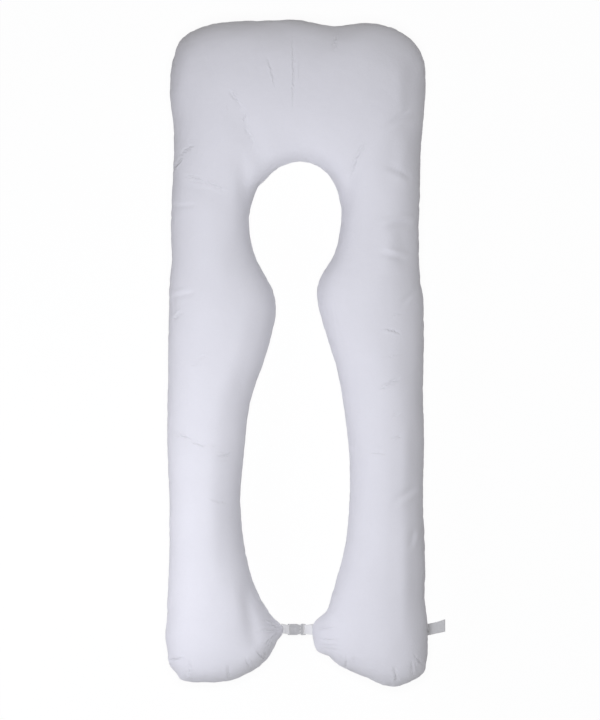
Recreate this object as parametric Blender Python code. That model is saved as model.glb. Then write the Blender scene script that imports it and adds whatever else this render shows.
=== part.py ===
"""A contoured, U-shaped body pillow whose two feet are drawn together by a buckled strap.

The pillow lies on its back on the plane z = 0. Its closed end points to +Y and its feet to -Y.
Tables are in metres, measured from the pillow's centre line and the middle of its length.
"""
import math
from collections import namedtuple

import bmesh
import bpy
import numpy as np
from mathutils import Vector

# ---- driving sizes, metres ----------------------------------------------------------------
CENTRE_LINE_X = -0.019        # puts the whole part, with the strap's tail, evenly about x = 0
FILL_HEIGHT = 0.115           # the most that the filling could lift the cover above the seam
SEAM_HEIGHT = 0.064           # the edge seam above the floor
TIP_DROOP = 0.20              # share of the seam's height that is lost at a foot's inner tip
TIP_REACH = 0.100             # how far from the tip the seam is back at its height
RING_STEP = 0.030             # most that one cross-section may stand from the next
FOOT_RING_STEP = 0.018        # the same in the feet
FEET_BELOW_Y = -0.560
RING_INTERVALS = 12           # intervals across the cover, on top and again underneath
GAP = 0.0004                  # between pieces that touch

WEBBING_WIDTH = 0.0255
WEBBING_THICKNESS = 0.0014
WEBBING_INTERVALS = 4         # intervals across the webbing
STRAP_CLEARANCE = 0.0028      # between the tail's top and the foot above it
STRAP_CHANNEL = 0.030         # half width of the hollow that the tail makes under the foot
CHANNEL_FADE = 0.018

BUCKLE_Y = -0.6218
BUCKLE_Z = 0.0480
BUCKLE_HALF_WIDTH = 0.0123
BUCKLE_HALF_HEIGHT = 0.0034
ARM_WIDTH = 0.0014            # side arms that hold a bar
ARM_HALF_HEIGHT = 0.0018
BAR_RADIUS = 0.0013
SOCKET_BAR_X = -0.0195
SOCKET_BODY_X = (-0.0160, 0.0066)
SOCKET_NECK_X = (0.0002, 0.0030)  # where the socket narrows to its waist
WAIST_HALF_WIDTH = 0.0108
WINDOW_X = (-0.0058, 0.0006)  # the side windows that the prongs' buttons stand in
CLIP_BAR_X = 0.0182
CLIP_BODY_X = (0.0074, 0.0146)
CLIP_WING = 0.0005            # the clip's ends stand this far out past the socket's sides
CAVITY_X = (-0.0108, 0.0106)
CAVITY_HALF_WIDTH = 0.0087
CAVITY_HALF_HEIGHT = 0.0021
PANEL_X = (-0.0130, -0.0014)  # the raised panel on the socket's broad faces
PANEL_HALF_WIDTH = 0.0052
RIB_XS = (0.0098, 0.0122)     # the grip ribs across the clip
RIB_HALF_WIDTH = 0.0088
RELIEF = 0.0005               # how far the panel and the ribs are raised
PLASTIC_BEVEL = 0.0005
LOOP_RADIUS = BAR_RADIUS + GAP + WEBBING_THICKNESS / 2
BAR_WEBBING_WIDTH = 0.0206    # the webbing drawn together between the arms

# ---- the pillow's cross-sections: y, outer edge x, inner edge x -----------------------------
LEFT_LEG = (
    (-0.7405, -0.234, -0.184),
    (-0.7350, -0.260, -0.146),
    (-0.7170, -0.274, -0.103),
    (-0.6990, -0.290, -0.077),
    (-0.6720, -0.291, -0.056),
    (-0.6450, -0.296, -0.043),
    (-0.6270, -0.297, -0.030),
    (-0.6130, -0.295, -0.033),
    (-0.5990, -0.293, -0.048),
    (-0.5550, -0.292, -0.080),
    (-0.5050, -0.290, -0.101),
    (-0.4350, -0.287, -0.118),
    (-0.3400, -0.288, -0.127),
    (-0.2280, -0.292, -0.119),
    (-0.0930, -0.292, -0.101),
    (-0.0370, -0.291, -0.081),
    (0.0190, -0.290, -0.063),
    (0.0640, -0.289, -0.052),
    (0.1020, -0.288, -0.047),
    (0.1380, -0.288, -0.053),
    (0.1770, -0.285, -0.072),
    (0.2150, -0.282, -0.092),
    (0.2530, -0.284, -0.104),
)
RIGHT_LEG = (
    (0.2730, 0.274, 0.096),
    (0.2440, 0.274, 0.090),
    (0.2150, 0.274, 0.079),
    (0.1830, 0.276, 0.058),
    (0.1560, 0.278, 0.046),
    (0.1250, 0.285, 0.044),
    (0.0870, 0.285, 0.052),
    (0.0350, 0.286, 0.068),
    (-0.0260, 0.285, 0.087),
    (-0.0870, 0.284, 0.100),
    (-0.1610, 0.286, 0.110),
    (-0.2400, 0.286, 0.118),
    (-0.3400, 0.285, 0.117),
    (-0.4420, 0.288, 0.107),
    (-0.5000, 0.288, 0.091),
    (-0.5500, 0.288, 0.076),
    (-0.5820, 0.292, 0.064),
    (-0.6010, 0.294, 0.041),
    (-0.6150, 0.295, 0.034),
    (-0.6450, 0.295, 0.036),
    (-0.6725, 0.295, 0.046),
    (-0.6805, 0.294, 0.070),
    (-0.6990, 0.292, 0.091),
    (-0.7170, 0.287, 0.125),
    (-0.7350, 0.264, 0.169),
    (-0.7500, 0.226, 0.202),
)
# Round the head opening the sections fan out: outer edge x, y, inner edge x, y.
CROWN = (
    (-0.284, 0.289, -0.108, 0.289),
    (-0.280, 0.368, -0.105, 0.321),
    (-0.277, 0.440, -0.097, 0.352),
    (-0.279, 0.514, -0.086, 0.375),
    (-0.285, 0.588, -0.072, 0.390),
    (-0.279, 0.660, -0.061, 0.402),
    (-0.261, 0.708, -0.050, 0.412),
    (-0.212, 0.736, -0.038, 0.420),
    (-0.146, 0.747, -0.025, 0.425),
    (-0.070, 0.749, -0.011, 0.429),
    (0.007, 0.750, 0.002, 0.431),
    (0.056, 0.740, 0.014, 0.431),
    (0.092, 0.735, 0.027, 0.429),
    (0.146, 0.744, 0.040, 0.424),
    (0.209, 0.735, 0.054, 0.416),
    (0.256, 0.708, 0.068, 0.404),
    (0.284, 0.669, 0.079, 0.390),
    (0.290, 0.604, 0.088, 0.372),
    (0.286, 0.530, 0.094, 0.352),
    (0.280, 0.458, 0.099, 0.330),
    (0.277, 0.370, 0.099, 0.300),
)
# The feet's inner tips, where the straps are sewn in: x, y.
TIPS = ((-0.030, -0.622), (0.034, -0.628))
# The broad folds on the upper face: from x, y, to x, y, half width, depth. One with a
# depth below 0 is a fuller place.
Fold = namedtuple("Fold", "from_x from_y to_x to_y half_width depth")
FOLDS = (
    Fold(-0.152, 0.585, -0.094, 0.455, 0.024, 0.007),
    Fold(0.153, 0.469, 0.108, 0.368, 0.022, 0.004),
    Fold(-0.275, -0.182, -0.178, -0.217, 0.018, 0.004),
    Fold(-0.275, 0.395, -0.169, 0.352, 0.018, 0.003),
    Fold(0.236, 0.514, 0.222, 0.400, 0.020, 0.004),
    Fold(0.226, 0.318, 0.208, 0.210, 0.020, 0.004),
    Fold(0.243, -0.195, 0.250, -0.330, 0.018, 0.005),
    Fold(0.190, 0.712, 0.232, 0.690, 0.026, 0.009),
    Fold(0.262, 0.645, 0.268, 0.430, 0.026, 0.012),
    Fold(-0.190, 0.712, -0.232, 0.692, 0.026, 0.006),
    Fold(-0.260, 0.650, -0.264, 0.480, 0.026, 0.006),
    Fold(-0.056, -0.636, -0.090, -0.692, 0.017, -0.012),
)
# The adjusting strap: x, y, z of its middle, and its width.
STRAP_TO_BAR = (
    (0.0332, -0.6220, 0.0512, 0.0222),
    (0.0294, -0.6220, 0.0513, 0.0221),
    (0.0251, -0.6219, 0.0509, 0.0214),
)
STRAP_TAIL = (
    (0.0231, -0.6219, 0.0448, 0.0214),
    (0.0288, -0.6219, 0.0418, 0.0226),
    (0.0368, -0.6222, 0.0325, 0.0240),
    (0.0470, -0.6230, 0.0180, 0.0250),
    (0.0590, -0.6240, 0.0070, WEBBING_WIDTH),
    (0.0710, -0.6254, 0.0020, WEBBING_WIDTH),
    (0.0850, -0.6268, WEBBING_THICKNESS / 2, WEBBING_WIDTH),
    (0.1500, -0.6292, WEBBING_THICKNESS / 2, WEBBING_WIDTH),
    (0.2200, -0.6292, WEBBING_THICKNESS / 2, WEBBING_WIDTH),
    (0.2700, -0.6275, WEBBING_THICKNESS / 2, WEBBING_WIDTH),
    (0.2920, -0.6252, WEBBING_THICKNESS / 2, WEBBING_WIDTH),
    (0.3120, -0.6210, WEBBING_THICKNESS / 2, WEBBING_WIDTH),
    (0.3250, -0.6179, 0.0014, 0.0260),
    (0.3350, -0.6150, 0.0036, 0.0272),
)
# One layer of the tip strap: x, y, z of the loop's middle, half the gap between the two
# layers' middles, width and roll in degrees about X, because the loop is twisted at the tip.
TIP_STRAP = (
    (-0.0300, -0.6201, 0.0506, 0.0011, 0.0205, -16.0),
    (-0.0276, -0.6206, 0.0500, 0.0012, 0.0208, -11.0),
    (-0.0248, -0.6212, 0.0489, 0.0015, 0.0208, -6.0),
    (-0.0223, -0.6216, 0.0481, 0.0022, 0.0205, -2.0),
)

WHITE_COTTON = (0.80, 0.80, 0.86)
WHITE_WEBBING = (0.74, 0.74, 0.78)
GREY_PLASTIC = (0.30, 0.30, 0.31)


# ---- helpers --------------------------------------------------------------------------------
def clear_scene():
    for old in list(bpy.data.objects):
        bpy.data.objects.remove(old, do_unlink=True)


def material(name, colour, roughness):
    made = bpy.data.materials.new(name)
    made.use_nodes = True
    shader = made.node_tree.nodes["Principled BSDF"]
    shader.inputs["Base Color"].default_value = (*colour, 1.0)
    shader.inputs["Roughness"].default_value = roughness
    shader.inputs["Metallic"].default_value = 0.0
    return made


def add_object(name, mesh, parent, finish=None):
    made = bpy.data.objects.new(name, mesh)
    bpy.context.scene.collection.objects.link(made)
    made.parent = parent
    if finish:
        made.data.materials.append(finish)
    return made


def finish_mesh(name, bm):
    bmesh.ops.recalc_face_normals(bm, faces=bm.faces)
    if bm.calc_volume(signed=True) < 0:
        bmesh.ops.reverse_faces(bm, faces=bm.faces)
    mesh = bpy.data.meshes.new(name)
    bm.to_mesh(mesh)
    bm.free()
    return mesh


def through_points(rows, step_of):
    """Rows of numbers read at even steps along a smooth curve through the given rows.

    The curve is a cubic Hermite spline. Its parameter grows by the longest move of any point
    of the row, and step_of(row) is the most that the parameter may grow there.
    """
    rows = np.array(rows, float)
    points = rows[:, : rows.shape[1] // 2 * 2].reshape(len(rows), -1, 2)
    moves = np.linalg.norm(np.diff(points, axis=0), axis=2).max(axis=1)
    at = np.concatenate([[0.0], np.cumsum(moves)])
    slopes = np.gradient(rows, at, axis=0)
    read = []
    for k, span in enumerate(moves):
        count = max(1, math.ceil(span / step_of(rows[k])))
        for t in np.arange(count) / count:
            read.append(
                (2 * t**3 - 3 * t**2 + 1) * rows[k]
                + (t**3 - 2 * t**2 + t) * span * slopes[k]
                + (3 * t**2 - 2 * t**3) * rows[k + 1]
                + (t**3 - t**2) * span * slopes[k + 1]
            )
    read.append(rows[-1])
    return read


def distance_to_segment(x, y, fold):
    start = np.array([fold.from_x, fold.from_y])
    along = np.array([fold.to_x, fold.to_y]) - start
    here = np.array([x, y]) - start
    share = min(1.0, max(0.0, float(here @ along) / float(along @ along)))
    return float(np.linalg.norm(here - share * along))


# ---- the pillow -----------------------------------------------------------------------------
def leg_sections(rows):
    return [(outer, y, inner, y) for y, outer, inner in rows]


def pillow_plan():
    """Places of the cover's points seen from above: one row for each cross-section."""
    rows = leg_sections(LEFT_LEG) + list(CROWN) + leg_sections(RIGHT_LEG)
    sections = np.array(through_points(
        rows, lambda row: FOOT_RING_STEP if row[1] < FEET_BELOW_Y else RING_STEP
    ))
    outer, inner = sections[:, None, 0:2], sections[:, None, 2:4]
    share = (1 - np.cos(np.linspace(0, math.pi, RING_INTERVALS + 1))) / 2
    return outer + (inner - outer) * share[None, :, None]


def membrane(plan):
    """Height of an evenly pressed skin that is stretched across the plan from edge to edge.

    It is solved with linear triangles. Across a strip it gives half the square of the height
    of a semicircle, so its root rises as a filled cover does, and thins into every corner.
    """
    rings, across = plan.shape[:2]
    number = np.arange(rings * across).reshape(rings, across)
    a, b, c, d = (part.ravel() for part in
                  (number[:-1, :-1], number[1:, :-1], number[1:, 1:], number[:-1, 1:]))
    corners = np.concatenate([np.stack([a, b, c], 1), np.stack([a, c, d], 1)])
    places = plan.reshape(-1, 2)[corners]
    opposite = np.roll(places, 1, axis=1) - np.roll(places, 2, axis=1)
    area = np.abs(np.cross(places[:, 1] - places[:, 0], places[:, 2] - places[:, 0])) / 2
    stiffness = np.zeros((number.size, number.size))
    for i in range(3):
        for j in range(3):
            pull = (opposite[:, i] * opposite[:, j]).sum(1) / (4 * area)
            np.add.at(stiffness, (corners[:, i], corners[:, j]), pull)
    load = np.bincount(corners.ravel(), np.repeat(area / 3, 3), number.size)
    free = number[1:-1, 1:-1].ravel()
    height = np.zeros(number.size)
    height[free] = np.linalg.solve(stiffness[np.ix_(free, free)], load[free])
    return height.reshape(rings, across)


def seam_height(x, y):
    """The edge seam above the floor, lower at the feet's inner tips."""
    height = SEAM_HEIGHT
    for tip_x, tip_y in TIPS:
        near = min(1.0, math.hypot(x - tip_x, y - tip_y) / TIP_REACH)
        height *= 1.0 - TIP_DROOP * (1.0 + math.cos(near * math.pi)) / 2
    return height


def floor_under(x, y, tail):
    """The lowest that the cover may lie: on the floor, or clear above the strap's tail."""
    xs, ys, zs = zip(*tail)
    if x < xs[0]:
        return 0.0
    away = abs(y - np.interp(x, xs, ys)) - STRAP_CHANNEL
    fade = 1.0 - min(1.0, max(0.0, away) / CHANNEL_FADE)
    return float(np.interp(x, xs, zs) + WEBBING_THICKNESS / 2 + STRAP_CLEARANCE) * fade


def fold_depth(x, y):
    return sum(
        fold.depth * math.exp(-((distance_to_segment(x, y, fold) / fold.half_width) ** 2))
        for fold in FOLDS
    )


def add_patch(bm, corners, seam):
    """One four-sided patch. With three corners on the seam it is split through the fourth,
    so that the patch above and the patch below it share no diagonal."""
    free = [k for k, corner in enumerate(corners) if corner not in seam]
    if len(free) > 1:
        bm.faces.new(corners)
        return
    first = free[0]
    a, b, c, d = corners[first:] + corners[:first]
    bm.faces.new((a, b, c))
    bm.faces.new((a, c, d))


def pillow_mesh(tail):
    plan = pillow_plan()
    fill = FILL_HEIGHT * np.tanh(np.sqrt(2 * np.maximum(membrane(plan), 0)) / FILL_HEIGHT)
    bm = bmesh.new()
    rings, seam = [], set()
    last = RING_INTERVALS
    for k, (places, lifts) in enumerate(zip(plan, fill)):
        top, under = [], []
        for i, ((x, y), lift) in enumerate(zip(places, lifts)):
            middle = seam_height(x, y)
            fold = fold_depth(x, y) * min(1.0, lift / middle)
            top.append(bm.verts.new((x, y, middle + lift - fold)))
            if i in (0, last) or k in (0, len(plan) - 1):
                under.append(top[-1])
                seam.add(top[-1])
            else:
                bottom = max(middle - lift, floor_under(x, y, tail))
                under.append(bm.verts.new((x, y, min(bottom, middle))))
        rings.append((top, under))
    for (top, under), (next_top, next_under) in zip(rings, rings[1:]):
        for this, after in ((top, next_top), (under, next_under)):
            for i in range(last):
                add_patch(bm, [this[i], this[i + 1], after[i + 1], after[i]], seam)
    return finish_mesh("pillow", bm)


# ---- the webbing ----------------------------------------------------------------------------
def ribbon_mesh(name, rows):
    """Webbing through rows of middle point, side vector and width, as one closed solid."""
    bm = bmesh.new()
    rings = []
    for k, (middle, side, width) in enumerate(rows):
        before, after = rows[max(k - 1, 0)][0], rows[min(k + 1, len(rows) - 1)][0]
        along = (after - before).normalized()
        across = along.cross(side)
        thick = across.normalized() * WEBBING_THICKNESS / 2
        reach = side * width / across.length
        places = [middle + reach * (i / WEBBING_INTERVALS - 0.5)
                  for i in range(WEBBING_INTERVALS + 1)]
        ring = [place + thick for place in places] + [place - thick for place in places[::-1]]
        rings.append([bm.verts.new(point) for point in ring])
    count = len(rings[0])
    for this, after in zip(rings, rings[1:]):
        for k in range(count):
            other = (k + 1) % count
            bm.faces.new((this[k], this[other], after[other], after[k]))
    for ring in (rings[0], rings[-1]):
        for k in range(WEBBING_INTERVALS):
            bm.faces.new((ring[k], ring[k + 1], ring[count - 2 - k], ring[count - 1 - k]))
    return finish_mesh(name, bm)


def turn_round_bar(bar_x, towards, steps=8):
    """Rows of webbing once round a bar, from above it to below it on the given side."""
    rows = []
    for k in range(steps + 1):
        angle = math.pi * (0.5 - k / steps)
        middle = Vector((
            bar_x + towards * LOOP_RADIUS * math.cos(angle),
            BUCKLE_Y,
            BUCKLE_Z + LOOP_RADIUS * math.sin(angle),
        ))
        rows.append((middle, Vector((0, 1, 0)), BAR_WEBBING_WIDTH))
    return rows


def strap_rows(table, step=0.012):
    """Rows of webbing that lie square to Y, read from a smooth curve through a table."""
    rows = []
    for x, y, z, width in through_points(table, lambda _: step):
        middle = Vector((x, y, max(z, WEBBING_THICKNESS / 2)))
        rows.append((middle, Vector((0, 1, 0)), width))
    return rows


def tip_strap_layer(above):
    rows = []
    for x, y, z, half_gap, width, roll in TIP_STRAP:
        turn = math.radians(roll)
        side = Vector((0, math.cos(turn), math.sin(turn)))
        lift = Vector((0, -math.sin(turn), math.cos(turn))) * half_gap
        middle = Vector((x, y, z)) + (lift if above else -lift)
        rows.append((middle, side, width))
    return rows


# ---- the buckle -----------------------------------------------------------------------------
def prism(name, outline, half_height, parent, bevel=PLASTIC_BEVEL, finish=None):
    """An outline in X and Y, raised evenly above and below the buckle's middle plane."""
    bm = bmesh.new()
    face = bm.faces.new([bm.verts.new((x, y, -half_height)) for x, y in outline])
    raised = bmesh.ops.extrude_face_region(bm, geom=[face])["geom"]
    moved = [item for item in raised if isinstance(item, bmesh.types.BMVert)]
    bmesh.ops.translate(bm, verts=moved, vec=(0, 0, 2 * half_height))
    if bevel:
        bmesh.ops.bevel(bm, geom=bm.edges[:], offset=bevel, segments=1, affect="EDGES")
    return add_object(name, finish_mesh(name, bm), parent, finish)


def rectangle(low_x, high_x, low_y, high_y):
    return [(low_x, low_y), (high_x, low_y), (high_x, high_y), (low_x, high_y)]


def bar(name, x, parent):
    bm = bmesh.new()
    bmesh.ops.create_cone(
        bm, cap_ends=True, segments=16, radius1=BAR_RADIUS, radius2=BAR_RADIUS,
        depth=2 * (BUCKLE_HALF_WIDTH - ARM_WIDTH / 2),
    )
    bmesh.ops.rotate(bm, verts=bm.verts, matrix=Vector((0, 0, 1)).rotation_difference(
        Vector((0, 1, 0))).to_matrix())
    bmesh.ops.translate(bm, verts=bm.verts, vec=(x, 0, 0))
    return add_object(name, finish_mesh(name, bm), parent)


def combine(target, tool, operation):
    """Adds a live EXACT Boolean, and hides its tool."""
    change = target.modifiers.new(f"{operation.lower()}_{tool.name}", "BOOLEAN")
    change.operation = operation
    change.solver = "EXACT"
    change.object = tool
    tool.hide_render = True
    tool.display_type = "WIRE"


def arms(name, low_x, high_x, parent, target):
    """The two side arms that carry a bar, joined to the target."""
    inside, outside = BUCKLE_HALF_WIDTH - ARM_WIDTH, BUCKLE_HALF_WIDTH
    for label, low_y, high_y in (("left", inside, outside), ("right", -outside, -inside)):
        outline = rectangle(low_x, high_x, low_y, high_y)
        arm = prism(f"{name}_arm_{label}", outline, ARM_HALF_HEIGHT, parent, bevel=0.0003)
        combine(target, arm, "UNION")


def buckle_socket(parent, finish):
    """The hollow half: a body with side windows, and a bar between two arms."""
    left, right = SOCKET_BODY_X
    shoulder_x, waist_x = SOCKET_NECK_X
    half, waist = BUCKLE_HALF_WIDTH, WAIST_HALF_WIDTH
    outline = [
        (left, -half), (shoulder_x, -half), (waist_x, -waist), (right, -waist),
        (right, waist), (waist_x, waist), (shoulder_x, half), (left, half),
    ]
    socket = prism("buckle_socket", outline, BUCKLE_HALF_HEIGHT, parent, finish=finish)
    panel = prism("socket_panel", rectangle(*PANEL_X, -PANEL_HALF_WIDTH, PANEL_HALF_WIDTH),
                  BUCKLE_HALF_HEIGHT + RELIEF, parent, bevel=RELIEF / 2)
    cavity = prism("socket_cavity", rectangle(*CAVITY_X, -CAVITY_HALF_WIDTH, CAVITY_HALF_WIDTH),
                   CAVITY_HALF_HEIGHT, parent, bevel=0)
    past_sides = 1.3 * half
    windows = prism("socket_windows", rectangle(*WINDOW_X, -past_sides, past_sides),
                    CAVITY_HALF_HEIGHT - 0.0001, parent, bevel=0)
    combine(socket, panel, "UNION")
    combine(socket, cavity, "DIFFERENCE")
    combine(socket, windows, "DIFFERENCE")
    arms("socket", SOCKET_BAR_X - BAR_RADIUS, left + 0.001, parent, socket)
    combine(socket, bar("socket_bar", SOCKET_BAR_X, parent), "UNION")
    return socket


def buckle_clip(parent, finish):
    """The pronged half: a winged body with grip ribs, two sprung prongs, a tongue and a bar."""
    left, right = CLIP_BODY_X
    waist, wing = WAIST_HALF_WIDTH, BUCKLE_HALF_WIDTH + CLIP_WING
    wing_x = left + 0.4 * (right - left)
    body = [
        (left, -waist), (wing_x, -wing), (right, -wing),
        (right, wing), (wing_x, wing), (left, waist),
    ]
    clip = prism("buckle_clip", body, BUCKLE_HALF_HEIGHT, parent, finish=finish)
    prong_end, button = -0.0068, 0.0116
    root, outer_side, inner_side = left + 0.001, 0.0081, 0.0056
    prong = [
        (root, inner_side), (root, outer_side), (0.0002, outer_side), (-0.0002, button - 0.0006),
        (-0.0012, button), (-0.0036, button - 0.0004), (-0.0052, outer_side + 0.0002),
        (prong_end, inner_side + 0.0010), (prong_end, inner_side),
    ]
    half_thick = CAVITY_HALF_HEIGHT - 0.0005
    for label, sign in (("left", 1), ("right", -1)):
        outline = [(x, sign * y) for x, y in prong]
        made = prism(f"clip_prong_{label}", outline, half_thick, parent, bevel=0.0002)
        combine(clip, made, "UNION")
    tongue = prism("clip_tongue", rectangle(-0.0055, root, -0.0015, 0.0015),
                   half_thick, parent, bevel=0.0003)
    combine(clip, tongue, "UNION")
    for number, x in enumerate(RIB_XS):
        outline = rectangle(x - RELIEF, x + RELIEF, -RIB_HALF_WIDTH, RIB_HALF_WIDTH)
        rib = prism(f"clip_rib_{number}", outline, BUCKLE_HALF_HEIGHT + RELIEF, parent,
                    bevel=RELIEF / 2)
        combine(clip, rib, "UNION")
    arms("clip", right - 0.001, CLIP_BAR_X + BAR_RADIUS, parent, clip)
    combine(clip, bar("clip_bar", CLIP_BAR_X, parent), "UNION")
    return clip


# ---- assembly -------------------------------------------------------------------------------
def build():
    clear_scene()
    whole = add_object("body_pillow", None, None)
    whole.location.x = CENTRE_LINE_X
    cotton = material("white_cotton", WHITE_COTTON, 0.85)
    webbing = material("white_webbing", WHITE_WEBBING, 0.80)
    plastic = material("grey_plastic", GREY_PLASTIC, 0.45)

    tail = strap_rows(STRAP_TAIL)
    tail_places = [tuple(middle) for middle, _, _ in tail]
    pillow = add_object("pillow", pillow_mesh(tail_places), whole, cotton)
    pillow.data.shade_smooth()

    to_bar = strap_rows(STRAP_TO_BAR, 0.004)
    adjusting = to_bar + turn_round_bar(CLIP_BAR_X, -1) + tail
    add_object("adjusting_strap", ribbon_mesh("adjusting_strap", adjusting), whole, webbing)

    loop = (tip_strap_layer(True) + turn_round_bar(SOCKET_BAR_X, 1)
            + tip_strap_layer(False)[::-1])
    add_object("tip_strap", ribbon_mesh("tip_strap", loop), whole, webbing)

    buckle = add_object("buckle", None, whole)
    buckle.location = (0, BUCKLE_Y, BUCKLE_Z)
    buckle_socket(buckle, plastic)
    buckle_clip(buckle, plastic)


build()
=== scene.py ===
"""The looks of a contoured, U-shaped body pillow whose feet are drawn together by a buckled strap.

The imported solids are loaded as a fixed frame. The stuffed cover and the webbing are modelled
again, finer, where their solids are. The buckle's solids stay, and get a moulded plastic.
Lengths are in metres. +Z is up, and the pillow's closed end points to +Y.
"""
import math
from collections import namedtuple

import bmesh
import bpy
import numpy as np
from bpy.props import FloatProperty, FloatVectorProperty, IntProperty, PointerProperty
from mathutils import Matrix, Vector
from mathutils.bvhtree import BVHTree
from mathutils.kdtree import KDTree


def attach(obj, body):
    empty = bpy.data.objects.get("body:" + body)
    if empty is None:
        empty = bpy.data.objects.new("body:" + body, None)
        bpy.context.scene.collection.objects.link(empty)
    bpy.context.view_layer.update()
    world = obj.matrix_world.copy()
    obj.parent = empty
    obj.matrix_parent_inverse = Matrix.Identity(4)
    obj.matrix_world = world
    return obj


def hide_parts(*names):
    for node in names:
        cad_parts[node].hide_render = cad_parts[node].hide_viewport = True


bl_info = {
    "name": "Body Pillow",
    "version": (1, 0, 0),
    "blender": (4, 5, 0),
    "location": "3D View > Sidebar > Body Pillow",
    "description": "Dresses a solid U-shaped body pillow with cloth, webbing and plastic",
    "category": "Object",
}

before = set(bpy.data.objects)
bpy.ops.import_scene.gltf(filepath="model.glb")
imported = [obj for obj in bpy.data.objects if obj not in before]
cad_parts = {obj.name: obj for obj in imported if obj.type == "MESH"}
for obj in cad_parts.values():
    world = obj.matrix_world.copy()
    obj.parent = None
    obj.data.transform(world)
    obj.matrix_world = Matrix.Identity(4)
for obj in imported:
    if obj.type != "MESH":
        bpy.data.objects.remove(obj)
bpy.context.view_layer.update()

# ---- places, metres ---------------------------------------------------------------------------
CENTRE_LINE_X = -0.019          # the pillow's own centre line
CROWN_CENTRE = (-0.0235, 0.289)  # the cross-sections fan out round this point
FEET_BELOW_Y = -0.56            # cross-sections stand closer together below this
RESTING_BELOW_Z = 0.022         # cloth that starts below this is never moved down

# ---- how the solid pillow is read, and the cover built on it ----------------------------------
WELD_DISTANCE = 1e-5
LINE_STEP = 0.002               # between the lines that the cross-sections are chosen from
FAN_LINES = 720                 # such lines round the crown
END_INSET = 0.0006              # the first and last lines' distance inside a foot's end
LOOP_REFINEMENT = 4             # points read between two of the seam's corners
RIM_CROWDING = 0.3              # share by which a cross-section's points stand closer at its ends
HEIGHT_INSET = 0.0018           # heights are read this far inside the edge
LARGEST_INSET = 0.25            # the most that this may be, as a share of the cross-section
RAY_START = 1.0                 # above and below everything
SEAM_SAMPLE = 0.0005            # between the points that seam distances are measured to
SHORTFALL_WINDOW = 31           # such points that the seam's distance from the edge is evened over
EDGE_REACH = 0.030              # how far in from the seam the cloth follows when it is moved
NEAR_SEAM = 0.040               # reach of the fullness that is gathered into the seam
EVENING_PASSES = 4              # of drawing points together, to even them out
BROAD_PASSES = 60               # after these, only the broad part of a movement is left
TINY = 1e-9

# ---- the cover's lumps, puckers and seam ------------------------------------------------------
LUMP_LENGTHS = (0.20, 0.11, 0.065)  # from one of the filling's lumps to the next
WAVES_OF_A_LENGTH = 5
WAVE_LENGTHS = (0.8, 1.3)       # the shortest and longest of them, as shares of that length
WAVE_SUM = 3.2                  # about the most that the waves of one length add up to
# Puckers: how far apart they are along the seam, and how far they reach from it.
PUCKERS = ((0.092, 0.030), (0.057, 0.022), (0.037, 0.016), (0.026, 0.011))
PUCKER_LEAN = 0.012             # distance from the seam over which a pucker leans over
PUCKER_WIDTH = 0.45             # the lower, the narrower
GROOVE_HALF_WIDTH = 0.0042
GROOVE_SHARE = 1.5              # of the seam's depth that its groove gets, 1 at most, less
LEVEL_SHARE = 2.2               # this times how level the cloth lies: level cloth has no groove

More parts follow.
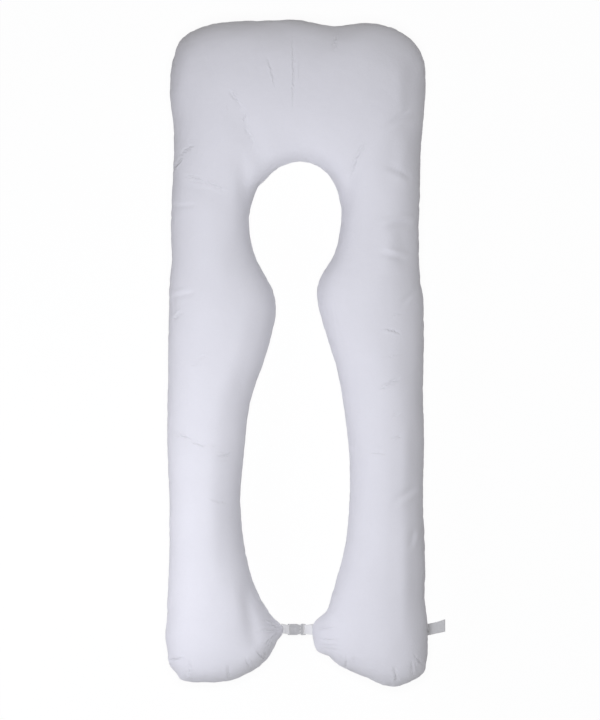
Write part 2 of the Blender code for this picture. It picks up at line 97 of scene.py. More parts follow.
# ---- the cover's creases, on its upper face ---------------------------------------------------
# From x y, by way of x y, to x y, half width and depth. A depth below 0 is raised. Last comes the
# lip, cloth that is pushed up beside the crease, as a share of the depth. It lies to the left of
# the way that the crease runs, and to the right where it is below 0.
Crease = namedtuple("Crease", "x1 y1 x2 y2 x3 y3 half_width depth lip")
CREASES = tuple(Crease(*row) for row in (
    # pull lines down from the top edge
    (-0.028, 0.714, -0.025, 0.627, -0.028, 0.539, 0.0026, 0.0009, -0.7),
    (-0.086, 0.665, -0.073, 0.629, -0.066, 0.588, 0.0028, 0.0008, -0.7),
    (0.069, 0.728, 0.064, 0.705, 0.062, 0.674, 0.0040, 0.0010, 0.7),
    (-0.098, 0.746, -0.100, 0.687, -0.107, 0.624, 0.0070, 0.0012, 0.4),
    # from the upper left down to the head opening, in short turns
    (-0.174, 0.588, -0.157, 0.574, -0.143, 0.550, 0.0034, 0.0013, 0.7),
    (-0.145, 0.557, -0.134, 0.532, -0.138, 0.505, 0.0022, 0.0009, 0.7),
    (-0.140, 0.514, -0.127, 0.496, -0.116, 0.467, 0.0028, 0.0007, 0.7),
    (-0.179, 0.602, -0.138, 0.552, -0.120, 0.467, 0.0080, 0.0010, 0.4),
    # pulls in from the left outer side
    (-0.300, 0.409, -0.288, 0.428, -0.275, 0.440, 0.0034, 0.0011, -0.7),
    (-0.284, 0.441, -0.268, 0.461, -0.248, 0.466, 0.0032, 0.0010, -0.7),
    (-0.273, 0.397, -0.252, 0.402, -0.235, 0.394, 0.0026, 0.0006, 0.7),
    (-0.262, 0.388, -0.216, 0.384, -0.174, 0.360, 0.0030, 0.0011, 0.7),
    (-0.305, 0.334, -0.273, 0.327, -0.242, 0.334, 0.0050, 0.0014, 0.4),
    (-0.302, 0.126, -0.275, 0.131, -0.244, 0.137, 0.0056, 0.0020, 0.5),
    (-0.298, 0.075, -0.287, 0.087, -0.273, 0.093, 0.0040, 0.0010, 0.7),
    (-0.260, -0.024, -0.246, -0.028, -0.233, -0.021, 0.0024, 0.0007, 0.7),
    (-0.244, -0.015, -0.230, -0.003, -0.215, -0.008, 0.0030, 0.0006, 0.7),
    # the soft creases on the right of the head opening
    (0.138, 0.475, 0.108, 0.446, 0.098, 0.390, 0.0034, 0.0013, 0.7),
    (0.236, 0.543, 0.212, 0.532, 0.184, 0.512, 0.0066, 0.0028, 0.8),
    # short dents that run in from the right outer side
    (0.178, 0.421, 0.206, 0.412, 0.236, 0.392, 0.0062, 0.0028, -0.7),
    (0.244, 0.296, 0.212, 0.298, 0.176, 0.280, 0.0072, 0.0034, -0.8),
    (0.228, 0.212, 0.200, 0.214, 0.166, 0.226, 0.0066, 0.0032, -0.8),
    (0.253, 0.141, 0.231, 0.129, 0.215, 0.109, 0.0050, 0.0022, 0.4),
    (0.193, 0.080, 0.204, 0.093, 0.215, 0.091, 0.0028, 0.0008, -0.7),
    (0.213, 0.044, 0.195, 0.055, 0.170, 0.055, 0.0028, 0.0012, 0.7),
    (0.215, 0.001, 0.195, -0.003, 0.174, -0.008, 0.0030, 0.0007, 0.7),
    (0.213, -0.053, 0.188, -0.064, 0.161, -0.082, 0.0032, 0.0014, 0.7),
    (0.215, -0.132, 0.204, -0.134, 0.190, -0.145, 0.0030, 0.0008, 0.7),
    (0.215, -0.183, 0.204, -0.186, 0.193, -0.192, 0.0026, 0.0011, 0.7),
    (0.181, -0.224, 0.159, -0.219, 0.139, -0.224, 0.0030, 0.0008, 0.7),
    (0.250, -0.296, 0.226, -0.314, 0.197, -0.331, 0.0075, 0.0028, 0.6),
    (0.242, -0.393, 0.240, -0.415, 0.231, -0.438, 0.0055, 0.0022, 0.5),
    # the left leg's slanted crease, the dash past its end and the fold below
    (-0.293, -0.181, -0.273, -0.186, -0.253, -0.195, 0.0024, 0.0013, 0.7),
    (-0.258, -0.195, -0.237, -0.204, -0.217, -0.206, 0.0026, 0.0011, -0.7),
    (-0.219, -0.208, -0.208, -0.206, -0.197, -0.213, 0.0022, 0.0007, 0.7),
    (-0.199, -0.226, -0.185, -0.233, -0.165, -0.226, 0.0024, 0.0013, 0.7),
    (-0.219, -0.323, -0.199, -0.332, -0.176, -0.332, 0.0030, 0.0008, -0.7),
    # broad shoulders
    (-0.254, 0.698, -0.280, 0.640, -0.287, 0.530, 0.0230, -0.0028, 0.0),
    (0.212, 0.650, 0.210, 0.590, 0.213, 0.530, 0.0150, -0.0028, 0.0),
    (0.222, 0.503, 0.218, 0.435, 0.212, 0.368, 0.0190, -0.0036, 0.0),
    (0.190, 0.305, 0.187, 0.244, 0.190, 0.175, 0.0230, -0.0042, 0.0),
    (0.226, -0.150, 0.226, -0.240, 0.220, -0.350, 0.0170, -0.0030, 0.0),
    (0.220, -0.300, 0.224, -0.487, 0.222, -0.645, 0.0170, -0.0030, 0.0),
    (0.262, -0.450, 0.263, -0.500, 0.260, -0.555, 0.0140, -0.0020, 0.0),
    (-0.125, 0.109, -0.150, 0.010, -0.178, -0.100, 0.0220, -0.0028, 0.0),
    (-0.172, -0.020, -0.190, -0.085, -0.206, -0.165, 0.0220, -0.0020, 0.0),
    (-0.206, -0.161, -0.212, -0.307, -0.206, -0.487, 0.0220, -0.0024, 0.0),
    # broad hollows beside the head opening, and where the left leg runs out into its foot's tip
    (-0.145, 0.458, -0.132, 0.390, -0.134, 0.318, 0.0190, 0.0050, 0.0),
    (0.107, 0.444, 0.098, 0.377, 0.093, 0.305, 0.0130, 0.0025, 0.0),
    (-0.134, -0.510, -0.122, -0.588, -0.111, -0.667, 0.0160, 0.0060, 0.0),
    (0.084, -0.555, 0.073, -0.600, 0.078, -0.654, 0.0130, 0.0020, 0.0),
    # gathers that run out from the feet's inner tips
    (-0.059, -0.611, -0.075, -0.600, -0.098, -0.595, 0.0028, 0.0010, 0.7),
    (-0.057, -0.620, -0.077, -0.618, -0.107, -0.622, 0.0026, 0.0011, 0.7),
    (-0.059, -0.629, -0.075, -0.638, -0.093, -0.654, 0.0026, 0.0007, -0.7),
    (-0.066, -0.640, -0.077, -0.658, -0.084, -0.678, 0.0030, 0.0007, -0.7),
    (0.026, -0.620, 0.042, -0.613, 0.069, -0.613, 0.0028, 0.0010, -0.7),
    (0.028, -0.640, 0.046, -0.645, 0.078, -0.642, 0.0028, 0.0009, 0.7),
    (0.033, -0.663, 0.055, -0.660, 0.080, -0.667, 0.0028, 0.0008, 0.7),
    # drawn-in cloth above the feet's lower edges
    (-0.084, -0.692, -0.098, -0.681, -0.109, -0.663, 0.0030, 0.0012, 0.7),
    (-0.116, -0.717, -0.127, -0.699, -0.134, -0.678, 0.0034, 0.0012, -0.7),
    (-0.167, -0.735, -0.174, -0.717, -0.172, -0.694, 0.0038, 0.0010, 0.7),
    (-0.224, -0.739, -0.217, -0.717, -0.221, -0.694, 0.0042, 0.0011, 0.5),
    (-0.269, -0.730, -0.260, -0.708, -0.262, -0.685, 0.0040, 0.0010, -0.7),
    (-0.305, -0.692, -0.291, -0.685, -0.273, -0.683, 0.0036, 0.0013, 0.7),
    (0.089, -0.710, 0.096, -0.692, 0.093, -0.672, 0.0036, 0.0011, 0.7),
    (0.141, -0.728, 0.145, -0.708, 0.141, -0.685, 0.0042, 0.0011, -0.5),
    (0.206, -0.741, 0.206, -0.721, 0.197, -0.699, 0.0040, 0.0010, 0.7),
    (0.244, -0.726, 0.238, -0.708, 0.238, -0.685, 0.0034, 0.0010, -0.7),
    (0.267, -0.699, 0.253, -0.690, 0.240, -0.672, 0.0032, 0.0011, 0.7),
))
CREASE_POINTS = 13              # along a crease
CREASE_REACH = 5                # half widths beside a crease that it acts within
CREASE_ENDS = 2.5               # the higher, the shorter the ends that its depth fades over
LIP_OFFSET = 1.7                # half widths from a crease to the top of its lip
NARROW_CREASE = 0.0040          # half width up to which a crease is the cotton's fine relief, and
                                # past which it is in the mesh
NARROW_REACH = 4.0              # half widths beside a narrow crease at which it has faded
NARROW_LIP = 0.7                # the lip of every narrow crease
FAR_CREASE = 20.0               # half widths off, for points with no narrow crease near them

# ---- the webbing: x from the centre line, y and z of its middle, and its width ---------------
STRAP_TO_BAR = (
    (0.0332, -0.6220, 0.0512, 0.0222),
    (0.0294, -0.6220, 0.0513, 0.0221),
    (0.0251, -0.6219, 0.0509, 0.0214),
)
STRAP_TAIL = (
    (0.0231, -0.6219, 0.0448, 0.0214),
    (0.0288, -0.6219, 0.0418, 0.0226),
    (0.0368, -0.6222, 0.0325, 0.0240),
    (0.0470, -0.6230, 0.0180, 0.0250),
    (0.0590, -0.6240, 0.0070, 0.0255),
    (0.0710, -0.6254, 0.0020, 0.0255),
    (0.0850, -0.6268, 0.0007, 0.0255),
    (0.1500, -0.6292, 0.0007, 0.0255),
    (0.2200, -0.6292, 0.0007, 0.0255),
    (0.2700, -0.6275, 0.0007, 0.0255),
    (0.2920, -0.6252, 0.0007, 0.0255),
    (0.3120, -0.6210, 0.0007, 0.0255),
    (0.3250, -0.6179, 0.0014, 0.0260),
    (0.3350, -0.6150, 0.0036, 0.0272),
)
# One layer of the tip strap: x, y, z, half the gap between its layers, width, roll in degrees.
TIP_STRAP = (
    (-0.0300, -0.6201, 0.0506, 0.0011, 0.0205, -16.0),
    (-0.0276, -0.6206, 0.0500, 0.0012, 0.0208, -11.0),
    (-0.0248, -0.6212, 0.0489, 0.0015, 0.0208, -6.0),
    (-0.0223, -0.6216, 0.0481, 0.0022, 0.0205, -2.0),
)
BUCKLE_Y, BUCKLE_Z = -0.6218, 0.0480  # the middle of the buckle's bars
SOCKET_BAR_X, CLIP_BAR_X = -0.0195, 0.0182
LOOP_RADIUS = 0.0024            # from a bar's middle to the middle of the webbing round it
LOOP_STEPS = 14                 # intervals of webbing round a bar
BAR_WEBBING_WIDTH = 0.0206      # of webbing that is drawn together at the buckle
SEWN_IN = 0.005                 # of each strap's end that lies inside the cover
SELVEDGE = 0.30                 # the webbing's thickness at its selvedges, as a share
SELVEDGE_POWER = 6              # the higher, the closer to the selvedge the webbing thins
SELVEDGE_BAND = (0.0098, 0.0106)  # from the webbing's middle, where its weave ends
CROSSING_RIBS = 1.45            # ribs that cross the webbing, to one that runs its length
TAIL_SHADE_RUN = (0.27, 0.33)      # along a strap, where the painted shade on its free tail starts, and where it is full

# ---- the cotton's fine relief -----------------------------------------------------------------
SEAM_BAND = (0.0004, 0.0016)    # from the seam, where its own line fades
STITCH_RATE = 2000.0            # radians a metre, for a stitch each 3.1 mm
GATHER_RATE = 620.0             # radians a metre, for a small gather each 10 mm
GATHER_WANDER = 5.0             # radians that they wander
GATHER_REACH = 0.010            # from the seam
RUCK_REACH = 0.020              # from the seam
RUCK_STRETCH = 0.22             # across the seam: the lower, the longer the rucks
KINK = 0.7                      # half widths that a narrow crease wanders to each side

# ---- shades, as shares of a piece's colour ----------------------------------------------------
DARK_THREADS = 0.955            # of the cotton
SEWN_LINE, SEWN_SHARE = 0.45, 0.35  # in the cover's seam, and how much of that shows
DARK_RIBS = 0.86                # of the webbing
TAIL_SHADE, TAIL_SHADE_SHARE = 0.68, 0.75  # painted shade on the free tail, and how much of that shows
DARK_PLASTIC, RUBBED_PLASTIC = 0.94, 1.30
RUBBED_EDGES = (0.52, 0.64)     # how far edges stand out where rubbing starts, and is full

# ---- the stage --------------------------------------------------------------------------------
VIEW_CENTRE = (-0.01225, -0.01463)  # what the camera looks straight down at
VIEW_HEIGHT = 1.62              # what the frame shows from bottom to top, at the seam's height
VIEW_PLANE_Z = 0.066            # the seam's height
SENSOR = 36.0                   # millimetres
FAR_CLIP = 100.0
FLOOR_HALF_WIDTH = 9.0
FLOOR_Z = -0.0004               # just clear of the pieces that lie on it
SURROUND_COLOUR = (1.0, 0.80, 0.50)
Light = namedtuple("Light", "name place target size power colour")  # power in watts
LIGHTS = (
    Light("overhead", (0, 0, 3.5), (0, 0, 0), 1.2, 88.0, (0.93, 0.94, 1.0)),
    Light("side", (-1.5, -1.0, 1.2), (-0.15, -0.5, 0), 1.0, 7.6, (0.82, 0.83, 1.0)),
    Light("near_side", (-0.9, -0.45, 0.7), (-0.2, -0.4, 0), 0.5, 1.85, (1.0, 1.0, 1.0)),
    Light("back", (0, 2.6, 0.30), (0, 0.7, 0.08), 0.5, 3.6, (1.0, 1.0, 1.0)),
    Light("front", (0, -2.6, 0.30), (0, -0.7, 0.08), 0.5, 5.6, (0.96, 0.98, 1.0)),
)


# ---- settings ---------------------------------------------------------------------------------
class CoverSettings(bpy.types.PropertyGroup):
    """Sizes and colours of the stuffed cover."""

    section_step: FloatProperty(
        name="Section Step", description="Most that one cross-section may stand from the next",
        default=0.0080, min=0.004, unit="LENGTH")
    foot_step: FloatProperty(
        name="Foot Section Step", description="The same in the feet", default=0.0050, min=0.003,
        unit="LENGTH")
    columns: IntProperty(
        name="Columns", description="Intervals across the upper face, and across the under face",
        default=24, min=8)
    rim_flatness: FloatProperty(
        name="Rim Flatness", description="How much lower the cover stands next to its seam",
        default=0.5, subtype="FACTOR")
    rim_height: FloatProperty(
        name="Rim Height", description="Height above the seam that the flatter rim reaches",
        default=0.028, unit="LENGTH")
    pressure: FloatProperty(
        name="Pressure", description="Push of the filling in the cloth simulation", default=4.0)
    frames: IntProperty(
        name="Frames", description="Length of the cloth simulation", default=20, min=1)
    fullness: FloatProperty(
        name="Seam Fullness", description="Share of spare cloth that is gathered into the seam",
        default=0.04, min=0.0, subtype="FACTOR")
    wrinkle_limit: FloatProperty(
        name="Wrinkle Limit", description="Most that the simulation may move a point",
        default=0.007, unit="LENGTH")
    swell: FloatProperty(
        name="Swell", description="Share of the simulated swelling that is kept", default=0.12,
        subtype="FACTOR")
    lump: FloatProperty(
        name="Lumps", description="Height of the filling's broad unevenness", default=0.0014,
        unit="LENGTH")
    seam_depth: FloatProperty(
        name="Seam Depth", description="How far the edge seam is drawn in", default=0.0024,
        unit="LENGTH")
    pucker: FloatProperty(
        name="Puckers", description="Depth of the puckers along the seam", default=0.0016,
        unit="LENGTH")
    colour: FloatVectorProperty(
        name="Cotton", description="Colour of the cotton", subtype="COLOR", size=3,
        default=(0.80, 0.80, 0.84))
    thread_pitch: FloatProperty(
        name="Thread Pitch", description="Width of one thread of the weave", default=0.00045,
        unit="LENGTH", precision=5)


class WebbingSettings(bpy.types.PropertyGroup):
    """Sizes and colours of the straps."""

    thickness: FloatProperty(
        name="Thickness", description="Thickness of the webbing", default=0.0014, unit="LENGTH",
        precision=5)
    columns: IntProperty(
        name="Columns", description="Intervals across one face of the webbing", default=14, min=4)
    row_step: FloatProperty(
        name="Row Step", description="Length of one interval along the webbing", default=0.0020,
        unit="LENGTH", precision=5)
    rib_pitch: FloatProperty(
        name="Rib Pitch", description="Width of one rib of the weave", default=0.00110,
        unit="LENGTH", precision=5)
    colour: FloatVectorProperty(
        name="Webbing", description="Colour of the webbing", subtype="COLOR", size=3,
        default=(0.83, 0.83, 0.83))


class BuckleSettings(bpy.types.PropertyGroup):
    """Finish of the side-release buckle."""

    colour: FloatVectorProperty(
        name="Plastic", description="Colour of the moulded plastic", subtype="COLOR", size=3,
        default=(0.425, 0.425, 0.43))
    grain: FloatProperty(
        name="Grain", description="Size of the moulded grain", default=0.00035, unit="LENGTH",
        precision=5)


class StageSettings(bpy.types.PropertyGroup):
    """The floor, the camera and the lights."""

    camera_height: FloatProperty(
        name="Camera Height", description="Camera above the seam", default=12.0, unit="LENGTH")
    floor_glow: FloatProperty(
        name="Floor Glow", description="How brightly the floor shines to the camera",
        default=0.955, subtype="FACTOR")
    bounce_colour: FloatVectorProperty(
        name="Floor Bounce", description="Colour that the floor lends to what lies on it",
        subtype="COLOR", size=3, default=(0.50, 0.50, 0.50))
    bounce_glow: FloatProperty(
        name="Bounce Glow", description="How brightly the floor shines on what lies on it",
        default=0.28)
    light_share: FloatProperty(
        name="Light", description="Share of the lights' powers that is used", default=1.0, min=0.0)
    surround_strength: FloatProperty(
        name="Surround", description="Strength of the light from all round", default=0.045)


# ---- nodes ------------------------------------------------------------------------------------
def put(tree, kind, sockets=None, **settings):
    """Adds a node. Each of its sockets gets a plain value, or is linked to another's output."""
    node = tree.nodes.new(kind)
    for name, value in settings.items():
        setattr(node, name, value)
    for key, value in (sockets or {}).items():
        if isinstance(value, bpy.types.NodeSocket):
            tree.links.new(value, node.inputs[key])
        else:
            node.inputs[key].default_value = value
    return node


def maths(tree, operation, *values):
    return put(tree, "ShaderNodeMath", dict(enumerate(values)), operation=operation).outputs[0]


def new_group(name, inputs, outputs):
    """An empty node group, with the output sockets of its inputs and its closing node."""
    group = bpy.data.node_groups.new(name, "ShaderNodeTree")
    for label, kind, value in inputs:
        socket = group.interface.new_socket(label, in_out="INPUT", socket_type=kind)
        socket.default_value = value
    for label, kind in outputs:
        group.interface.new_socket(label, in_out="OUTPUT", socket_type=kind)
    start = group.nodes.new("NodeGroupInput")
    end = group.nodes.new("NodeGroupOutput")
    return group, start.outputs, end


def plain_weave():
    """Threads over and under each other: a height from 0 to 1, whichever way the cloth faces."""
    name = "plain_weave"
    if name in bpy.data.node_groups:
        return bpy.data.node_groups[name]
    group, given, end = new_group(
        name,
        (("Position", "NodeSocketVector", (0, 0, 0)), ("Facing", "NodeSocketVector", (0, 0, 1)),
         ("Pitch", "NodeSocketFloat", 0.001)),
        (("Height", "NodeSocketFloat"),),
    )
    turns = maths(group, "DIVIDE", math.pi, given["Pitch"])
    angles = put(group, "ShaderNodeVectorMath", {0: given["Position"], "Scale": turns},
                 operation="SCALE")
    threads = put(group, "ShaderNodeVectorMath", {0: angles.outputs[0]}, operation="SINE")
    x, y, z = put(group, "ShaderNodeSeparateXYZ", {0: threads.outputs[0]}).outputs
    one = put(group, "ShaderNodeCombineXYZ", {0: y, 1: z, 2: x})
    other = put(group, "ShaderNodeCombineXYZ", {0: z, 1: x, 2: y})
    crossed = put(group, "ShaderNodeVectorMath", {0: one.outputs[0], 1: other.outputs[0]},
                  operation="MULTIPLY")
    shares = put(group, "ShaderNodeVectorMath", {0: given["Facing"], 1: given["Facing"]},
                 operation="MULTIPLY")
    height = put(group, "ShaderNodeVectorMath", {0: crossed.outputs[0], 1: shares.outputs[0]},
                 operation="DOT_PRODUCT")
    group.links.new(maths(group, "MULTIPLY_ADD", height.outputs["Value"], 0.5, 0.5),
                    end.inputs["Height"])
    return group


def soft_variation():
    """A slow, uneven mask from 0 to 1, with patches of about the given size."""
    name = "soft_variation"
    if name in bpy.data.node_groups:
        return bpy.data.node_groups[name]
    group, given, end = new_group(
        name,
        (("Position", "NodeSocketVector", (0, 0, 0)), ("Size", "NodeSocketFloat", 0.02),
         ("Detail", "NodeSocketFloat", 2.0)),
        (("Mask", "NodeSocketFloat"),),
    )
    scale = maths(group, "DIVIDE", 1.0, given["Size"])
    noise = put(group, "ShaderNodeTexNoise",
                {"Vector": given["Position"], "Scale": scale, "Detail": given["Detail"],
                 "Roughness": 0.5})
    spread = put(group, "ShaderNodeMapRange",
                 {"Value": noise.outputs[0], "From Min": 0.25, "From Max": 0.75})
    group.links.new(spread.outputs[0], end.inputs["Mask"])
    return group


def woven(tree, position, facing, pitch):
    return put(tree, "ShaderNodeGroup", {"Position": position, "Facing": facing, "Pitch": pitch},
               node_tree=plain_weave()).outputs["Height"]


def variation(tree, position, size, detail):
    return put(tree, "ShaderNodeGroup", {"Position": position, "Size": size, "Detail": detail},
               node_tree=soft_variation()).outputs["Mask"]


def stored(tree, name):
    """A value that the mesh holds for each of its points."""
    return put(tree, "ShaderNodeAttribute", attribute_name=name).outputs["Fac"]


def bell(tree, value):
    """1 where the value is 0, falling smoothly to 0 at both sides."""
    square = maths(tree, "MULTIPLY", value, value)
    return maths(tree, "EXPONENT", maths(tree, "MULTIPLY", square, -1.0))


def fading(tree, distance, reach):
    """1 at no distance, and falling off over the reach."""
    return maths(tree, "EXPONENT", maths(tree, "MULTIPLY", distance, -1 / reach))


def ramp(tree, value, band, start=0.0, end=1.0):
    """Smoothly from start to end while the value goes through the band."""
    sockets = {"Value": value, "From Min": band[0], "From Max": band[1], "To Min": start,
               "To Max": end}
    return put(tree, "ShaderNodeMapRange", sockets, interpolation_type="SMOOTHSTEP").outputs[0]


def weighted(tree, *masks):
    """The sum of masks, each times its weight: a share, or a height in metres."""
    total = 0.0
    for mask, weight in masks:
        total = maths(tree, "MULTIPLY_ADD", mask, weight, total)
    return total


def shaded(colour, share):
    return [share * value for value in colour]


def colour_between(tree, mask, first, second):
    """The first colour where the mask is 0, and the second where it is 1."""
    first, second = (colour if isinstance(colour, bpy.types.NodeSocket) else (*colour, 1)
                     for colour in (first, second))
    return put(tree, "ShaderNodeMix", {0: mask, 6: first, 7: second}, data_type="RGBA").outputs[2]


def new_material(name):
    made = bpy.data.materials.new(name)
    made.use_nodes = True
    return made, made.node_tree, made.node_tree.nodes["Principled BSDF"]


def finish(tree, shader, colour, roughness, height):
    """Gives a surface its colour, its roughness and its fine relief, in metres."""
    bump = put(tree, "ShaderNodeBump", {"Strength": 1.0, "Distance": 1.0, "Height": height})
    tree.links.new(colour, shader.inputs["Base Color"])
    tree.links.new(roughness, shader.inputs["Roughness"])
    tree.links.new(bump.outputs[0], shader.inputs["Normal"])


def cotton_material(settings):
    """Plain-woven white cotton over a soft filling, with its gathered edge seam."""
    made, tree, shader = new_material("white_cotton")
    position = put(tree, "ShaderNodeTexCoord").outputs["Object"]
    facing = put(tree, "ShaderNodeNewGeometry").outputs["Normal"]
    distance, run = stored(tree, "seam_distance"), stored(tree, "seam_run")
    weave = woven(tree, position, facing, settings.thread_pitch)
    slubs = variation(tree, position, size=0.0035, detail=2.0)
    ripples = variation(tree, position, size=0.022, detail=2.5)
    patches = variation(tree, position, size=0.11, detail=2.0)

    away = maths(tree, "ABSOLUTE", distance)
    in_seam = ramp(tree, away, SEAM_BAND, start=1.0, end=0.0)
    stitches = maths(tree, "SINE", maths(tree, "MULTIPLY", run, STITCH_RATE))
    stitches = maths(tree, "MULTIPLY", stitches, in_seam)
    turns = maths(tree, "MULTIPLY", run, GATHER_RATE)
    turns = maths(tree, "MULTIPLY_ADD", ripples, GATHER_WANDER, turns)
    gathers = maths(tree, "MULTIPLY", maths(tree, "SINE", turns),
                    fading(tree, away, GATHER_REACH))
    drawn = put(tree, "ShaderNodeCombineXYZ",
                {0: run, 1: maths(tree, "MULTIPLY", distance, RUCK_STRETCH)}).outputs[0]
    rucks = maths(tree, "SUBTRACT", variation(tree, drawn, size=0.0085, detail=1.5), 0.5)
    rucks = maths(tree, "MULTIPLY", rucks, fading(tree, away, RUCK_REACH))

    kinks = variation(tree, position, size=0.007, detail=1.0)
    kinks = maths(tree, "MULTIPLY_ADD", kinks, 2 * KINK, -KINK)
    offset = maths(tree, "ADD", stored(tree, "crease_offset"), kinks)
    lip = bell(tree, maths(tree, "SUBTRACT", offset, LIP_OFFSET))
    lip = maths(tree, "MULTIPLY", lip, NARROW_LIP)
    creases = maths(tree, "MULTIPLY", stored(tree, "crease_depth"),
                    maths(tree, "SUBTRACT", lip, bell(tree, offset)))

    height = weighted(tree, (weave, 0.000030), (slubs, 0.00005), (ripples, 0.00050),
                      (gathers, 0.00022), (rucks, 0.00110), (in_seam, -0.00060),
                      (stitches, 0.00012), (creases, 1.0))
    shade = weighted(tree, (patches, 0.65), (slubs, 0.35))
    cloth = colour_between(tree, shade, shaded(settings.colour, DARK_THREADS), settings.colour)
    sewn = colour_between(tree, maths(tree, "MULTIPLY", in_seam, SEWN_SHARE), cloth,
                          shaded(settings.colour, SEWN_LINE))
    roughness = maths(tree, "MULTIPLY_ADD", slubs, 0.10, 0.82)
    finish(tree, shader, sewn, roughness, height)
    shader.inputs["Specular IOR Level"].default_value = 0.25
    shader.inputs["Sheen Weight"].default_value = 0.12
    shader.inputs["Sheen Roughness"].default_value = 0.45
    return made


def webbing_material(settings):
    """White woven webbing: ribs that run its length, crossed by finer ones, and firm selvedges.
    Its free tail is greyed with painted shade.
    """
    if "ribbed_webbing" in bpy.data.materials:
        return bpy.data.materials["ribbed_webbing"]
    made, tree, shader = new_material("ribbed_webbing")
    flat = put(tree, "ShaderNodeTexCoord").outputs["UV"]
    along, across, _ = put(tree, "ShaderNodeSeparateXYZ", {0: flat}).outputs
    closer = put(tree, "ShaderNodeVectorMath", {0: flat, 1: (CROSSING_RIBS, 1.0, 1.0)},
                 operation="MULTIPLY").outputs[0]
    weave = woven(tree, closer, (0, 0, 1), settings.rib_pitch)
    fuzz = variation(tree, flat, size=0.0012, detail=2.0)
    ribs = maths(tree, "SINE", maths(tree, "MULTIPLY", across, math.pi / settings.rib_pitch))
    ribs = maths(tree, "ABSOLUTE", ribs)
    selvedge = ramp(tree, maths(tree, "ABSOLUTE", across), SELVEDGE_BAND)
    body = maths(tree, "MULTIPLY", weave, maths(tree, "SUBTRACT", 1.0, selvedge))
    height = weighted(tree, (body, 0.00011), (ribs, 0.00007), (fuzz, 0.00004))

    shade = weighted(tree, (fuzz, 0.55), (weave, 0.45))
    cloth = colour_between(tree, shade, shaded(settings.colour, DARK_RIBS), settings.colour)
    # painted shade: the free tail turns greyer along its run, where it lies in the foot's shadow
    painted_tail_shade = ramp(tree, along, TAIL_SHADE_RUN, end=TAIL_SHADE_SHARE)
    cloth = colour_between(tree, painted_tail_shade, cloth, shaded(settings.colour, TAIL_SHADE))
    roughness = maths(tree, "MULTIPLY_ADD", fuzz, 0.12, 0.72)
    finish(tree, shader, cloth, roughness, height)
    shader.inputs["Specular IOR Level"].default_value = 0.30
    shader.inputs["Sheen Weight"].default_value = 0.10
    return made


def plastic_material(settings):
    """Grey moulded plastic with a fine grain and slightly rubbed edges."""
    made, tree, shader = new_material("grey_plastic")
    position = put(tree, "ShaderNodeTexCoord").outputs["Object"]
    edges = put(tree, "ShaderNodeNewGeometry").outputs["Pointiness"]
    grain = variation(tree, position, size=settings.grain, detail=1.0)
    flow = variation(tree, position, size=0.006, detail=2.0)
    rubbed = put(tree, "ShaderNodeMapRange", {"Value": edges, "From Min": RUBBED_EDGES[0],
                                              "From Max": RUBBED_EDGES[1]}).outputs[0]
    rubbed = maths(tree, "MULTIPLY", rubbed, flow)
    light = [min(1.0, value) for value in shaded(settings.colour, RUBBED_PLASTIC)]
    plastic = colour_between(tree, weighted(tree, (flow, 0.2), (rubbed, 0.8)),
                             shaded(settings.colour, DARK_PLASTIC), light)
    roughness = maths(tree, "MULTIPLY_ADD", grain, 0.10, 0.38)
    finish(tree, shader, plastic, roughness, weighted(tree, (grain, 0.000020)))
    shader.inputs["Specular IOR Level"].default_value = 0.45
    return made


# ---- meshes -----------------------------------------------------------------------------------
def add_object(name, data):
    made = bpy.data.objects.new(name, data)
    bpy.context.scene.collection.objects.link(made)
    return made


def face_outwards(shell):
    bmesh.ops.recalc_face_normals(shell, faces=shell.faces)
    if shell.calc_volume(signed=True) < 0:
        bmesh.ops.reverse_faces(shell, faces=shell.faces)


def mesh_of(name, points, faces):
    """A smooth mesh, its faces pointing out."""
    mesh = bpy.data.meshes.new(name)
    mesh.from_pydata([tuple(point) for point in points], [], [tuple(face) for face in faces])
    shell = bmesh.new()
    shell.from_mesh(mesh)
    face_outwards(shell)
    shell.to_mesh(mesh)
    shell.free()
    mesh.shade_smooth()
    return mesh


def points_of(mesh, normals=False):
    """The places of a mesh's points, or the way that they face, as an array."""
    source = mesh.vertex_normals if normals else mesh.vertices
    values = np.zeros(len(source) * 3, np.float32)
    source.foreach_get("vector" if normals else "co", values)
    return values.reshape(-1, 3).astype(float)


def move_points(mesh, places):
    mesh.vertices.foreach_set("co", places.astype(np.float32).ravel())


def edges_of(mesh):
    values = np.zeros(len(mesh.edges) * 2, np.int32)
    mesh.edges.foreach_get("vertices", values)
    return values.reshape(-1, 2)


def relaxed(values, edges, passes, held=None):
    """Values at a mesh's points, each drawn half way to its neighbours' mean in every pass."""
    ends = np.concatenate([edges, edges[:, ::-1]])
    count = np.bincount(ends[:, 0], minlength=len(values))[:, None]
    for _ in range(passes):
        sums = np.stack([np.bincount(ends[:, 0], values[ends[:, 1], k], len(values))
                         for k in range(values.shape[1])], axis=1)
        after = (values + sums / count) / 2
        if held is not None:
            after[held] = values[held]
        values = after
    return values


def run_along(points):
    """How far along a line each of its points stands."""
    return np.concatenate([[0.0], np.cumsum(np.linalg.norm(np.diff(points, axis=0), axis=1))])


# ---- the cover --------------------------------------------------------------------------------
def seam_loop(node):
    """The solid pillow's edge seam, where its upper faces meet its under faces, in order."""
    solid = bmesh.new()
    solid.from_mesh(node.data)
    bmesh.ops.remove_doubles(solid, verts=solid.verts, dist=WELD_DISTANCE)
    solid.verts.index_update()
    solid.verts.ensure_lookup_table()
    solid.normal_update()
    joined = {}
    for edge in solid.edges:
        first, second = edge.link_faces
        if (first.normal.z > 0) != (second.normal.z > 0):
            a, b = (vert.index for vert in edge.verts)
            joined.setdefault(a, []).append(b)
            joined.setdefault(b, []).append(a)
    order = [min(joined)]
    order.append(joined[order[0]][0])
    while order[-1] != order[0]:
        a, b = joined[order[-1]]
        order.append(b if a == order[-2] else a)
    places = np.array([solid.verts[k].co for k in order[:-1]], float)
    solid.free()
    return places


